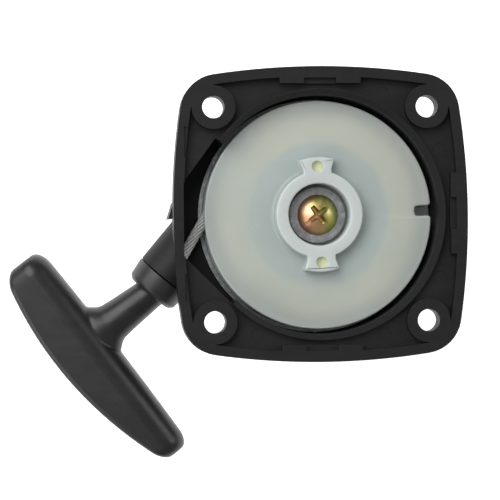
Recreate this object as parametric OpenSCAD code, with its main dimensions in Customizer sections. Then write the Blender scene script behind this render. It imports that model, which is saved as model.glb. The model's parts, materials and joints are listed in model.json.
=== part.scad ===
// Recoil starter for a small two-stroke engine.
// The mounting face lies in the plane z = 0 and faces +Z, towards the engine.
// The origin is the centre of the square of mounting holes, which is also the reel's axis.
// The rope leaves to the lower left (-X, -Y), with the pull handle on its end.

/* [Mounting plate] */
// Distance between neighbouring mounting holes
bolt_pitch = 50; // [46:0.5:60]
// Diameter of a mounting hole
bolt_hole_d = 5.2; // [4.2:0.1:6.2]
// Diameter of the raised boss round a mounting hole
bolt_boss_d = 10.2; // [9:0.1:11.2]
// From a mounting hole's centre line to the middle of the plate's side
plate_margin = 9.5; // [8.5:0.1:12]
// Thickness of the plate
plate_t = 6; // [4:0.5:7]
// Radius of the bow of the plate's sides
side_bow_r = 170; // [120:5:400]
// Radius of the plate's corners
corner_r = 9; // [7:0.5:11]
// Width of the flat land round the edge of the mounting face
land_w = 2.4; // [1.6:0.1:3]
// Extra width of the land at the middle of a side
land_step_w = 1.6; // [0.8:0.1:1.8]
// Length of the wider stretch of land
land_step_l = 19; // [10:1:24]
// Depth of the pockets between the land and the well
pocket_depth = 2.6; // [1:0.1:3.5]

/* [Housing shell] */
// Wall of the housing
wall = 2.2; // [1.6:0.1:2.6]
// Gap between the reel's rim and the wall of the well
reel_rim_gap = 1.1; // [0.6:0.1:1.4]
// Width of the raised rim round the well
well_rim_w = 1.4; // [1:0.1:1.5]
// Height of the sloping lip at the mouth of the well
well_lip_h = 2; // [1:0.1:3]
// How far the well's rim stands below the mounting face
well_rim_drop = 0.8; // [0.4:0.1:2]

/* [Reel] */
// Diameter of the reel's flanges
reel_d = 53.8; // [50:0.2:54]
// From the mounting face down to the reel's upper face
reel_depth = 7.1; // [5:0.1:9]
// Thickness of each flange
flange_t = 1.5; // [1.2:0.1:2]
// Height of the flange rim beyond the outermost turn of rope
flange_lip = 3.35; // [2:0.05:4]
// Height of the hub above the reel's upper face
hub_h = 3.5; // [2:0.1:4.5]
// Outer diameter of the hub ring
hub_d = 20.4; // [19:0.1:23]
// Diameter of the recess in the hub
hub_recess_d = 14.6; // [14.2:0.1:16.5]
// Size over the two drive ears
ears_span = 27; // [25.5:0.1:30]
// Width of a drive ear at its outer end
ear_w = 8.2; // [7:0.1:10]
// Width of a drive ear where it leaves the hub
ear_neck_w = 6.7; // [5:0.1:7]
// Diameter of the blind hole in each ear
ear_hole_d = 2.6; // [1.5:0.1:3]
// Depth of the holes in the reel's ears
ear_hole_depth = 1.4; // [1:0.1:3]
// Angle of the ears from the Y axis
ears_turn = 2.2; // [-10:0.1:10]
// Width of the notch in the rim
notch_w = 2.4; // [2:0.1:4]
// Depth of the notch in the rim
notch_depth = 3.9; // [2:0.1:4]

/* [Rope] */
// Diameter of the rope
rope_d = 2.5; // [2:0.1:3]
// Layers of rope on the reel
rope_layers = 3; // [2:1:3]
// Turns side by side in each layer
rope_columns = 2; // [1:1:2]
// Direction of the rope between reel and guide, measured down from -X
rope_angle = 59; // [55:1:62]

/* [Bearing and screw] */
// Diameter of the steel sleeve that the reel turns on
sleeve_d = 11; // [9:0.1:11.6]
// Wall of the sleeve
sleeve_wall = 1.2; // [0.8:0.1:1.2]
// Thread diameter of the centre screw
screw_d = 5; // [4:0.1:5]
// Length of the centre screw under its head
screw_l = 12; // [8:0.5:13]
// Diameter of the screw's head
screw_head_d = 9.6; // [8:0.1:11]
// Height of the screw's domed head
screw_head_h = 2.6; // [2:0.1:3]
// Diameter of the washer under the head
washer_d = 13.5; // [12.5:0.1:13.8]
// Thickness of the washer under the head
washer_t = 1.1; // [0.8:0.1:1.6]
// Thickness of the fibre thrust washer under the reel's arbor
thrust_t = 0.5; // [0.3:0.1:0.8]

/* [Spring] */
// Width of the spring strip
spring_w = 5; // [3:0.1:6]
// Thickness of the spring strip
spring_t = 0.4; // [0.3:0.05:0.5]
// Turns in the spring
spring_turns = 8; // [5:1:9]
// Thickness of the sheet of the case and its cover
sheet_t = 0.8; // [0.6:0.1:1]
// Diameter of the screws that hold the cover
cover_screw_d = 1.6; // [1.4:0.1:2]

/* [Outlet and collar] */
// Direction of the outlet boss, measured down from -X
outlet_angle = 50; // [46:1:54]
// Diameter of the outlet boss
outlet_d = 13.6; // [13:0.1:14]
// Length of the outlet boss behind the collar
outlet_l = 13; // [11:0.5:16]
// Largest diameter of the guide collar
collar_d = 13.8; // [12.5:0.1:15]
// Length of the collar that shows
collar_l = 5.4; // [5:0.1:8]
// Diameter of the rope hole in the collar
collar_hole_d = 5.8; // [5.6:0.1:6.2]

/* [Handle] */
// Direction of the pull, measured down from -X
pull_angle = 37.4; // [34:0.2:45]
// How far the pull and the outlet lean away from the engine
pull_lean = 6; // [0:1:8]
// Diameter of the stem where it enters the collar
stem_d = 7.6; // [6.6:0.1:8]
// Diameter of the stem at its root
stem_root_d = 8.9; // [8:0.1:11]
// Length of the stem between the collar and the grip
stem_l = 13.8; // [12:0.5:20]
// Length of the grip's short side, from the stem's axis
grip_short = 24.2; // [18:0.1:30]
// Length of the grip's long side, from the stem's axis
grip_long = 33.5; // [26:0.1:42]
// Thickness of the grip at its thickest, along the stem
grip_t = 13.8; // [12:0.1:17]
// Depth of the grip from face to face
grip_depth = 13; // [11.5:0.1:18]
// Diameter of the pocket for the knot
knot_pocket_d = 8.4; // [7.8:0.1:9]

/* [Hidden] */
$fn = 64;
// Cuts run past a face by this much.
cut = 1;
// Running clearance of the reel on its sleeve, all round
run_gap = 0.06;
// Clearance of a piece that is pressed into another, all round
seat_gap = 0.05;
// Gap between pieces that move past each other
free_gap = 0.3;
// Clearance of a screw or a piece in a hole that does not grip it, all round
slack_gap = 0.1;

plate_half = bolt_pitch / 2 + plate_margin;
land_half = plate_half - land_w;
hole_at = bolt_pitch / 2;
reel_r = reel_d / 2;
well_r = reel_r + reel_rim_gap;
rim_r = well_r + well_rim_w;
shell_r = well_r + wall;
groove_w = rope_columns * rope_d + 0.6;
rope_r = rope_d / 2;
wound_r = reel_r - flange_lip;
core_r = wound_r - rope_layers * rope_d;
run_r = wound_r - rope_r;

// Heights, from the mounting face down
reel_top_z = -reel_depth;
hub_top_z = reel_top_z + hub_h;
groove_top_z = reel_top_z - flange_t;
groove_low_z = groove_top_z - groove_w;
reel_low_z = groove_low_z - flange_t + 0.1;
rope_z = (groove_top_z + groove_low_z) / 2;
sleeve_top_z = reel_top_z - 2.5;
washer_top_z = sleeve_top_z + washer_t;
recess_z = sleeve_top_z - free_gap;
cover_top_z = reel_low_z - 1;
cover_low_z = cover_top_z - sheet_t;
spring_top_z = cover_low_z - 0.2;
spring_low_z = spring_top_z - spring_w;
case_floor_z = spring_low_z - 0.3;
floor_z = case_floor_z - sheet_t;
thrust_top_z = case_floor_z + seat_gap + thrust_t;
arbor_low_z = thrust_top_z + 0.25;
hook_low_z = thrust_top_z + free_gap;
post_top_z = sleeve_top_z - 0.4;
insert_low_z = sleeve_top_z - screw_l - 0.8;
shell_low_z = floor_z - wall;
foot_h = 1.2;
trough_z = groove_low_z - 1.3;
// The trough's upper wall runs at this angle, and both of its walls clear the well by this much.
trough_up_angle = 53.7;
trough_up_room = 2.3;
trough_low_room = 1.4;
trough_side_wall = 1.2;
// Fin above the rope's outlet: how far it stands out, then its root, tip and low end
fin_out = 0.95;
fin_root_y = 3.1;
fin_tip_y = -0.8;
fin_low_y = -0.2;

// Spring case and what fits round it
sleeve_r = sleeve_d / 2;
post_r = sleeve_r - sleeve_wall - seat_gap;
// The insert takes this share of the room between the screw and the outside of the post.
insert_share = 0.457;
insert_r = screw_d / 2 + insert_share * (post_r - screw_d / 2);
arbor_r = sleeve_r + 1.5;
case_r = well_r - 3.1;
case_hole_r = sleeve_r + slack_gap;
cover_hole_r = arbor_r + 1.2;
cover_screw_at = case_r + 1.5;
cover_screw_l = 4;
cover_head_r = 1.4;
spring_in_r = arbor_r + 0.5;
spring_out_r = case_r - sheet_t - spring_t;
hub_tube_r = arbor_r + 2;
core_wall = 2.4;

// The straight run of rope touches the outer turns here and bends into the guide at bend_at.
run_dir = [-cos(rope_angle), -sin(rope_angle)];
run_touch = run_r * [-sin(rope_angle), cos(rope_angle)];
bend_s = (plate_half + 0.14 + run_touch[0]) / cos(rope_angle);
bend_at = [run_touch[0] + bend_s * run_dir[0], run_touch[1] + bend_s * run_dir[1], rope_z];
run_from_s = sqrt(pow(wound_r + free_gap, 2) - pow(run_r - rope_r, 2)) + 0.4;
run_from = [run_touch[0] + run_from_s * run_dir[0], run_touch[1] + run_from_s * run_dir[1], rope_z];
pull_dir = [-cos(pull_angle) * cos(pull_lean), -sin(pull_angle) * cos(pull_lean), -sin(pull_lean)];
outlet_dir = [-cos(outlet_angle) * cos(pull_lean), -sin(outlet_angle) * cos(pull_lean), -sin(pull_lean)];
mouth_reach = 6.2;
mouth_at = bend_at + mouth_reach * pull_dir;
stem_in = 1.6;
mouth_depth = 2.7;
mouth_d = stem_d + 1.6;
spigot_d = collar_hole_d + 2.6;
spigot_l = 5;

// The grip: places along the pull from the collar's mouth
grip_bow = 0.0057;
crease_w = stem_l + 5.5;
outer_w = stem_l + grip_t;
grip_half_z = grip_depth / 2;
pocket_w = crease_w - 0.6;
knot_washer_t = 0.8;
knot_d = knot_pocket_d - 1.6;
cap_t = 1.9;
cap_w = outer_w - 0.6;
rope_bore_d = rope_d + 0.7;

// ---- shared shapes ----

// A square with bowed sides and round corners, as a list of points.
function bowed_square(half, bow, corner, n = 8) =
    let (
        k = bow - half,
        c = (sqrt(2 * pow(bow - corner, 2) - k * k) - k) / 2,
        edge = atan2(c, c + k),
        side = [for (i = [-n : n]) let (a = edge * i / n) [bow * cos(a) - k, bow * sin(a)]],
        turn = [
            for (i = [1 : n - 1])
                let (a = edge + (90 - 2 * edge) * i / n)
                [c + corner * cos(a), c + corner * sin(a)]
        ],
        quarter = concat(side, turn)
    )
    [
        for (q = [0 : 3], p = quarter)
            [p[0] * cos(90 * q) - p[1] * sin(90 * q), p[0] * sin(90 * q) + p[1] * cos(90 * q)]
    ];

// Where the line at distance d from the axis, along angle a below -X, crosses x = -half.
function line_cross(d, a, half) = [-half, (d - half * sin(a)) / cos(a)];

module at_holes() {
    for (x = [-1, 1], y = [-1, 1])
        translate([x * hole_at, y * hole_at, 0])
            children();
}

module tube(r_out, r_in, z_low, z_top) {
    translate([0, 0, z_low])
        difference() {
            cylinder(h = z_top - z_low, r = r_out);
            translate([0, 0, -cut])
                cylinder(h = z_top - z_low + 2 * cut, r = r_in);
        }
}

// Local z runs out along the given direction, x points away from the engine.
module along(at, angle) {
    translate(at)
        rotate([0, 0, 180 + angle])
            rotate([0, 90 + pull_lean, 0])
                children();
}

module at_outlet() {
    along(mouth_at, outlet_angle) children();
}

module at_pull() {
    along(mouth_at, pull_angle) children();
}

// A round bar between two points.
module rod(a, b, r) {
    d = b - a;
    l = norm(d);
    translate(a)
        rotate([0, acos(d[2] / l), atan2(d[1], d[0])])
            cylinder(h = l, r = r);
}

// ---- housing ----

// Plan of the trough that leads the rope out of the well.
module trough_plan(grow, side_grow) {
    up_d = well_r + trough_up_room + grow;
    low_d = well_r + trough_low_room + grow;
    half = land_half + side_grow;
    polygon([
        [0, 0],
        up_d * [-sin(trough_up_angle), cos(trough_up_angle)],
        line_cross(up_d, trough_up_angle, half),
        [-half, -(low_d * sqrt(2) - half)],
        low_d * [-sqrt(0.5), -sqrt(0.5)]
    ]);
}

module pocket_plan() {
    step_half = land_half - land_step_w;
    difference() {
        polygon(bowed_square(land_half, side_bow_r, corner_r - land_w));
        circle(r = rim_r);
        at_holes() circle(d = bolt_boss_d);
        for (q = [0 : 3])
            rotate(90 * q)
                translate([hole_at, hole_at])
                    square(bolt_pitch);
        for (q = [0, 1, 3])
            rotate(90 * q)
                translate([step_half, -land_step_l / 2])
                    square([land_w * 3, land_step_l]);
    }
}

module dome() {
    low_r = case_r + wall + 0.4;
    rotate_extrude()
        polygon([
            [0, shell_low_z],
            [low_r - 3, shell_low_z],
            [low_r - 1, shell_low_z + 0.7],
            [low_r, shell_low_z + 2.4],
            [low_r + 0.5, cover_low_z - 1.5],
            [shell_r, cover_low_z + 1.5],
            [shell_r, -1.2],
            [0, -1.2]
        ]);
}

module dome_ribs() {
    foot_r = case_r - 2;
    tube(foot_r, foot_r - 2.4, shell_low_z - foot_h, shell_low_z + 0.6);
    tube(9, 6.6, shell_low_z - foot_h, shell_low_z + 0.6);
    for (i = [0 : 7])
        rotate(45 * i + 22.5)
            translate([7.8, -0.8, shell_low_z - foot_h])
                cube([foot_r - 9, 1.6, foot_h + 0.6]);
}

module outlet_boss() {
    at_outlet()
        translate([0, 0, -collar_l - outlet_l])
            cylinder(h = outlet_l, d = outlet_d);
    translate([0, 0, trough_z - wall])
        linear_extrude(height = -trough_z + wall - 2)
            trough_plan(wall, trough_side_wall);
    // Pointed fin above the outlet
    translate([0, 0, trough_z + 1])
        linear_extrude(height = -trough_z - 6)
            polygon([
                [-plate_half + 4, fin_root_y],
                [-plate_half + 0.2, fin_root_y],
                [-plate_half - fin_out, fin_tip_y],
                [-plate_half + 4, fin_low_y]
            ]);
}

// Round marks that the ejector pins leave in the pockets
module ejector_marks() {
    mark_r = 1.6;
    mark_at = plate_half - 6.3;
    mark_side = hole_at - 10;
    for (p = [[mark_side, mark_at], [-mark_side, -mark_at], [mark_side, -mark_at],
              [mark_at, mark_side], [mark_at, -mark_side]])
        translate([p[0], p[1], -pocket_depth - 0.2])
            cylinder(h = cut, r = mark_r);
}

module well_cuts() {
    translate([0, 0, cover_low_z])
        cylinder(h = -cover_low_z + cut, r = well_r);
    translate([0, 0, -well_rim_drop - well_lip_h])
        cylinder(h = well_lip_h, r1 = well_r, r2 = rim_r - 0.2);
    translate([0, 0, -well_rim_drop])
        cylinder(h = cut + well_rim_drop, r = rim_r);
    // Room for the spring case under the step that the cover lies on
    translate([0, 0, floor_z])
        cylinder(h = cover_low_z - floor_z + cut, r = case_r + slack_gap);
    for (i = [0 : 2])
        rotate(120 * i + 30)
            translate([cover_screw_at, 0, cover_low_z - cover_screw_l - 0.6])
                cylinder(h = cover_screw_l + cut, r = cover_screw_d / 2 + seat_gap);
}

module face_cuts() {
    notch = [2.3, 7.5, 1.4];
    translate([0, 0, -pocket_depth])
        linear_extrude(height = pocket_depth + cut)
            pocket_plan();
    ejector_marks();
    // Notches in the wider stretches of land
    for (q = [0, 1, 3])
        rotate(90 * q)
            translate([land_half - land_step_w - 1, -notch[1] / 2, -notch[2]])
                cube([notch[0], notch[1], notch[2] + cut]);
    // Shallow steps in the land beside the outlet
    for (s = [[hole_at - 11.8, 7.3], [4.9 - hole_at, 6.3]])
        translate([-land_half + 0.2, s[0], -0.5])
            cube([1.2, s[1], 0.5 + cut]);
    at_holes()
        translate([0, 0, -plate_t - cut])
            cylinder(h = plate_t + 2 * cut, d = bolt_hole_d);
}

// The trough, the rope's own way to the guide, the bore for the collar, and the way to it
module rope_way_cuts() {
    rod(run_from, bend_at, rope_r + 2 * free_gap);
    translate([0, 0, trough_z])
        linear_extrude(height = -trough_z + cut)
            trough_plan(0, 0);
    at_outlet()
        translate([0, 0, -collar_l - spigot_l - 0.2])
            cylinder(h = spigot_l + 0.2 + cut, d = spigot_d + 2 * seat_gap);
    at_outlet()
        translate([0, 0, -collar_l - outlet_l + 1])
            cylinder(h = outlet_l, d = collar_hole_d + 1);
}

module housing() {
    bore_r = insert_r + seat_gap;
    color([0.13, 0.13, 0.14]) {
        difference() {
            union() {
                translate([0, 0, -plate_t])
                    linear_extrude(height = plate_t)
                        polygon(bowed_square(plate_half, side_bow_r, corner_r));
                dome();
                dome_ribs();
                outlet_boss();
            }
            well_cuts();
            face_cuts();
            rope_way_cuts();
            translate([0, 0, insert_low_z - 0.2])
                cylinder(h = screw_l, r = bore_r);
        }
        // Post inside the sleeve
        tube(post_r, bore_r, floor_z - 0.5, post_top_z);
    }
}

module threaded_insert() {
    color([0.72, 0.6, 0.32])
        tube(insert_r, screw_d / 2 + seat_gap, insert_low_z, post_top_z);
}

module axle_sleeve() {
    color([0.62, 0.63, 0.65])
        tube(sleeve_r, sleeve_r - sleeve_wall, floor_z, sleeve_top_z);
}

// ---- spring ----

module spring_case() {
    color([0.66, 0.67, 0.69])
    difference() {
        tube(case_r, case_hole_r, floor_z, cover_low_z);
        translate([0, 0, case_floor_z])
            cylinder(h = spring_w + 5, r = case_r - sheet_t);
        // Slot that holds the spring's outer end
        translate([case_r - 2, -0.7, case_floor_z])
            cube([3, 1.4, spring_w + 5]);
    }
}

// The strip lies close at the outside and opens towards the arbor.
module recoil_spring() {
    per_turn = 20;
    hook_l = 0.6;
    steps = spring_turns * per_turn;
    function at(i, side) =
        let (
            t = i / steps,
            r = spring_in_r + (spring_out_r - spring_in_r) * sqrt(t) + side * spring_t / 2,
            a = 360 * i / per_turn
        )
        r * [cos(a), sin(a)];
    color([0.35, 0.36, 0.4]) {
        translate([0, 0, spring_low_z])
            linear_extrude(height = spring_w) {
                polygon(concat(
                    [for (i = [0 : steps]) at(i, 1)],
                    [for (i = [steps : -1 : 0]) at(i, -1)]
                ));
                translate([spring_out_r - 0.1, -spring_t / 2])
                    square([spring_t + sheet_t - 0.1, spring_t]);
            }
        // The inner hook is narrower than the strip, so it passes over the thrust washer.
        translate([arbor_r - hook_l, -spring_t / 2, hook_low_z])
            cube([hook_l + spring_in_r - arbor_r, spring_t, spring_top_z - hook_low_z]);
    }
}

module spring_cover() {
    color([0.7, 0.71, 0.73])
    difference() {
        tube(well_r - free_gap, cover_hole_r, cover_low_z, cover_top_z);
        for (i = [0 : 2])
            rotate(120 * i + 30)
                translate([cover_screw_at, 0, cover_low_z - cut])
                    cylinder(h = sheet_t + 2 * cut, r = cover_screw_d / 2 + slack_gap);
    }
}

module cover_screws() {
    color([0.6, 0.6, 0.62])
    for (i = [0 : 2])
        rotate(120 * i + 30)
            translate([cover_screw_at, 0, 0]) {
                translate([0, 0, cover_low_z - cover_screw_l])
                    cylinder(h = sheet_t + cover_screw_l, d = cover_screw_d);
                translate([0, 0, cover_top_z])
                    cylinder(h = 0.6, r = cover_head_r);
            }
}

module thrust_washer() {
    color([0.55, 0.4, 0.25])
        tube(arbor_r, sleeve_r + slack_gap, case_floor_z + seat_gap, thrust_top_z);
}

// ---- reel ----

module reel_plan_notch() {
    rotate(1.9)
        translate([reel_r - notch_depth + notch_w / 2, 0]) {
            circle(d = notch_w);
            translate([0, -notch_w / 2])
                square([notch_depth + cut, notch_w]);
        }
}

module drive_ear() {
    out_r = ears_span / 2;
    in_r = hub_recess_d / 2 + 0.5;
    intersection() {
        circle(r = out_r);
        polygon([
            [-ear_neck_w / 2, in_r],
            [-ear_neck_w / 2, hub_d / 2 + 0.4],
            [-ear_w / 2, out_r + 0.5],
            [ear_w / 2, out_r + 0.5],
            [ear_neck_w / 2, hub_d / 2 + 0.4],
            [ear_neck_w / 2, in_r]
        ]);
    }
}

module rope_reel() {
    bore_r = sleeve_r + run_gap;
    recess_r = hub_recess_d / 2;
    hub_r = hub_d / 2;
    web_low_z = groove_top_z - 0.2;
    round_r = flange_t / 2;
    color([0.78, 0.8, 0.77])
    difference() {
        union() {
            rotate_extrude()
                polygon([
                    [bore_r, arbor_low_z],
                    [arbor_r, arbor_low_z],
                    [arbor_r, reel_low_z - 0.3],
                    [hub_tube_r, reel_low_z - 0.3],
                    [hub_tube_r, web_low_z],
                    [core_r - core_wall, web_low_z],
                    [core_r - core_wall, reel_low_z],
                    [reel_r - round_r, reel_low_z],
                    [reel_r, reel_low_z + 0.4],
                    [reel_r, groove_low_z - 0.3],
                    [reel_r - 0.4, groove_low_z],
                    [core_r, groove_low_z],
                    [core_r, groove_top_z],
                    [reel_r - 0.4, groove_top_z],
                    [reel_r, groove_top_z + 0.3],
                    [reel_r, reel_top_z - 0.4],
                    [reel_r - 0.4, reel_top_z],
                    [hub_r + 0.7, reel_top_z],
                    [hub_r + 0.15, reel_top_z + 0.35],
                    [hub_r, reel_top_z + 0.9],
                    [hub_r, hub_top_z - 0.3],
                    [hub_r - 0.3, hub_top_z],
                    [recess_r + 0.3, hub_top_z],
                    [recess_r, hub_top_z - 0.3],
                    [recess_r, recess_z],
                    [bore_r, recess_z]
                ]);
            for (s = [0, 1])
                rotate(180 * s + ears_turn)
                    translate([0, 0, reel_top_z - 0.5])
                        linear_extrude(height = hub_h + 0.5)
                            drive_ear();
            // Ribs between the hub tube and the core
            for (i = [0 : 5])
                rotate(60 * i + 15)
                    translate([hub_tube_r - 0.5, -0.7, reel_low_z + 0.5])
                        cube([core_r - core_wall - hub_tube_r + 1, 1.4, web_low_z - reel_low_z]);
        }
        translate([0, 0, reel_low_z - cut])
            linear_extrude(height = reel_top_z - reel_low_z + 2 * cut)
                reel_plan_notch();
        for (s = [0, 1])
            rotate(180 * s + ears_turn)
                translate([0, (ears_span - 4.5) / 2, hub_top_z - ear_hole_depth])
                    cylinder(h = ear_hole_depth + cut, d = ear_hole_d);
        // Hole for the rope's inner end, and the slot for the spring's inner end
        rotate(225)
            translate([core_r - core_wall - 1, 0, rope_z])
                rotate([0, 90, 0])
                    cylinder(h = core_wall + 2, r = rope_r + 0.2);
        translate([arbor_r - 0.9, -0.7, arbor_low_z - cut])
            cube([2, 1.4, spring_top_z - arbor_low_z + cut + 0.3]);
    }
}

module rope_turns() {
    step = rope_d + 0.1;
    skin = 0.3;
    function layer_r(l) = core_r + rope_r + seat_gap + l * rope_d * 0.995;
    color([0.8, 0.8, 0.78])
    rotate_extrude()
        difference() {
            union() {
                for (c = [0 : rope_columns - 1], l = [0 : rope_layers - 1])
                    translate([layer_r(l), rope_z + (c - (rope_columns - 1) / 2) * step])
                        circle(r = rope_r + 0.02, $fn = 24);
                translate([core_r + skin, rope_z - groove_w / 2 + 0.9])
                    square([rope_layers * rope_d - 2 * skin - 0.5, groove_w - 1.8]);
            }
            translate([0, groove_top_z - 0.1])
                square([reel_r, 1]);
            translate([0, groove_low_z - 0.9])
                square([reel_r, 1]);
            translate([core_r - 1 + seat_gap, groove_low_z])
                square([1, groove_w]);
        }
}

module reel_knot() {
    knot_r = (core_r - core_wall - hub_tube_r) / 2 - 0.3;
    knot_at = (core_r - core_wall + hub_tube_r) / 2;
    color([0.76, 0.76, 0.74])
    rotate(225) {
        translate([knot_at, 0, rope_z])
            sphere(r = knot_r);
        translate([knot_at, 0, rope_z])
            rotate([0, 90, 0])
                cylinder(h = core_r - knot_at, r = rope_r);
    }
}

module centre_washer() {
    color([0.6, 0.6, 0.62])
        tube(washer_d / 2, screw_d / 2 + 0.2, sleeve_top_z, washer_top_z);
}

module centre_screw() {
    head_r = screw_head_d / 2;
    edge_h = 0.7;
    dome_h = screw_head_h - edge_h;
    // A ball of this radius gives the dome over the head's edge.
    ball_r = (head_r * head_r + dome_h * dome_h) / (2 * dome_h);
    color([0.68, 0.58, 0.34])
    difference() {
        union() {
            translate([0, 0, sleeve_top_z - screw_l + washer_t + 0.2])
                cylinder(h = screw_l, d = screw_d);
            translate([0, 0, washer_top_z])
                intersection() {
                    cylinder(h = screw_head_h + cut, r = head_r);
                    translate([0, 0, screw_head_h - ball_r])
                        sphere(r = ball_r);
                }
        }
        translate([0, 0, washer_top_z + screw_head_h]) {
            rotate(37)
                cube([screw_head_d + 2, 0.9, 2 * 1.1], center = true);
            for (a = [37, 127])
                rotate(a)
                    cube([4.6, 1, 2 * 1.9], center = true);
        }
    }
}

// ---- outlet ----

module rope_guide_collar() {
    out_r = collar_d / 2;
    tip_r = out_r - 0.5;
    spigot_r = spigot_d / 2;
    hole_r = collar_hole_d / 2;
    color([0.22, 0.22, 0.23])
    at_outlet()
        rotate_extrude()
            polygon([
                [hole_r, -collar_l - spigot_l + 0.6],
                [hole_r + 0.6, -collar_l - spigot_l],
                [spigot_r, -collar_l - spigot_l],
                [spigot_r, -collar_l],
                [out_r - 0.4, -collar_l],
                [out_r, -collar_l + 0.4],
                [tip_r, -1.4],
                [tip_r - 0.25, -0.8],
                [tip_r - 0.7, -0.3],
                [tip_r - 1.3, 0],
                [mouth_d / 2, 0],
                [mouth_d / 2, -mouth_depth],
                [hole_r + 0.4, -mouth_depth],
                [hole_r, -mouth_depth - 0.4]
            ]);
}

module rope_run() {
    color([0.8, 0.8, 0.78]) {
        rod(run_from, bend_at, rope_r);
        translate(bend_at)
            sphere(r = rope_r + 0.02);
        rod(bend_at, mouth_at - (stem_in + 0.2) * pull_dir, rope_r);
    }
}

// ---- handle ----

// Distance from the collar's mouth to the grip's outer edge, at u along the grip.
function grip_outer(u) = outer_w - grip_bow * u * u;
// Distance from the collar's mouth to the grip's finger side.
function grip_inner(u) = stem_l + 0.0006 * u * u;
// Half the grip's depth at its crease.
function grip_side(u) = grip_half_z - 0.0011 * u * u;

// One section across the grip, as [depth, distance along the pull], all the way round.
function grip_half_section(u) =
    let (
        inner = grip_inner(u),
        outer = grip_outer(u),
        h = grip_side(u),
        edge_r = min(1.6, (outer - crease_w) * 0.6),
        low_h = h - 0.22 * (outer - edge_r - crease_w)
    )
    concat(
        [for (a = [0 : 15 : 90]) [h * sin(a), crease_w - (crease_w - inner) * cos(a)]],
        [for (a = [90 : -30 : 0])
            [low_h - edge_r + edge_r * sin(a), outer - edge_r + edge_r * cos(a)]],
        [[(low_h - edge_r) / 2, outer]]
    );

function grip_section(u) =
    let (
        half = grip_half_section(u),
        n = len(half)
    )
    concat(half, [[0, grip_outer(u)]], [for (i = [n - 1 : -1 : 1]) [-half[i][0], half[i][1]]]);

// The ends are rounded over end_r: the section shrinks towards its middle.
module grip_bar() {
    end_r = 2.6;
    end_flat = 0.55;
    stations = concat(
        [for (a = [0 : 18 : 90]) [-grip_short + end_r * (1 - cos(a)), a]],
        [for (i = [1 : 9]) [-grip_short + end_r + (grip_short + grip_long - 2 * end_r) * i / 10, 90]],
        [for (a = [90 : -18 : 0]) [grip_long - end_r * (1 - cos(a)), a]]
    );
    function ring(s) =
        let (
            u = s[0],
            mid_w = (grip_inner(u) + grip_outer(u)) / 2,
            keep = end_flat + (1 - end_flat) * cos(90 - s[1])
        )
        [for (p = grip_section(u)) [-p[0] * keep, u, mid_w + (p[1] - mid_w) * keep]];
    rings = [for (s = stations) ring(s)];
    n = len(rings[0]);
    m = len(rings);
    polyhedron(
        points = [for (r = rings, p = r) p],
        faces = concat(
            [[for (i = [0 : n - 1]) i]],
            [for (j = [0 : m - 2], i = [0 : n - 1])
                let (k = (i + 1) % n)
                [j * n + i, (j + 1) * n + i, (j + 1) * n + k]],
            [for (j = [0 : m - 2], i = [0 : n - 1])
                let (k = (i + 1) % n)
                [j * n + i, (j + 1) * n + k, j * n + k]],
            [[for (i = [n - 1 : -1 : 0]) (m - 1) * n + i]]
        )
    );
}

module handle_grip() {
    root_r = stem_root_d / 2;
    color([0.2, 0.2, 0.21])
    at_pull()
        difference() {
            union() {
                grip_bar();
                rotate_extrude()
                    polygon([
                        [0, -stem_in],
                        [stem_d / 2 - 0.4, -stem_in],
                        [stem_d / 2, -stem_in + 0.4],
                        [stem_d / 2, 0],
                        [root_r, stem_l - 6],
                        [root_r + 0.35, stem_l - 3.6],
                        [root_r + 1.1, stem_l - 1.6],
                        [root_r + 1.9, stem_l + 0.3],
                        [root_r + 1.9, crease_w],
                        [0, crease_w]
                    ]);
            }
            translate([0, 0, -stem_in - cut])
                cylinder(h = crease_w + 8, d = rope_bore_d);
            translate([0, 0, pocket_w])
                cylinder(h = grip_t, d = knot_pocket_d);
        }
}

module knot_washer() {
    color([0.62, 0.63, 0.65])
    at_pull()
        translate([0, 0, pocket_w])
            difference() {
                cylinder(h = knot_washer_t, d = knot_pocket_d - 2 * seat_gap);
                translate([0, 0, -cut])
                    cylinder(h = knot_washer_t + 2 * cut, d = rope_bore_d);
            }
}

module handle_knot() {
    low_w = pocket_w + knot_washer_t;
    knot_l = cap_w - cap_t - low_w - 0.3;
    color([0.76, 0.76, 0.74])
    at_pull()
        rotate_extrude()
            polygon([
                [0, low_w],
                [knot_d / 2 - 1.2, low_w],
                [knot_d / 2, low_w + 1.2],
                [knot_d / 2, low_w + knot_l - 1.2],
                [knot_d / 2 - 1.2, low_w + knot_l],
                [0, low_w + knot_l]
            ]);
}

module rope_in_handle() {
    color([0.8, 0.8, 0.78])
    at_pull()
        translate([0, 0, -stem_in])
            cylinder(h = pocket_w + knot_washer_t + stem_in, r = rope_r);
}

module handle_cap() {
    color([0.17, 0.17, 0.18])
    at_pull()
        translate([0, 0, cap_w - cap_t])
            cylinder(h = cap_t, d = knot_pocket_d - 2 * seat_gap);
}

housing();
threaded_insert();
axle_sleeve();
spring_case();
recoil_spring();
spring_cover();
cover_screws();
thrust_washer();
rope_guide_collar();
rope_run();
centre_washer();
centre_screw();
rope_reel();
rope_turns();
reel_knot();
handle_grip();
knot_washer();
handle_knot();
rope_in_handle();
handle_cap();
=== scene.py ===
"""Recoil starter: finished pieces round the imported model, laid out as an add-on and run as a script.

Everything is in metres in the model's own frame: the mounting face is z = 0 and faces +Z,
and the reel turns about the Z axis.
"""

import json
import math

import bmesh
import bpy
from bpy.props import FloatProperty, FloatVectorProperty, IntProperty, PointerProperty
from bpy.types import Operator, Panel, PropertyGroup
from mathutils import Matrix, Vector


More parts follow.
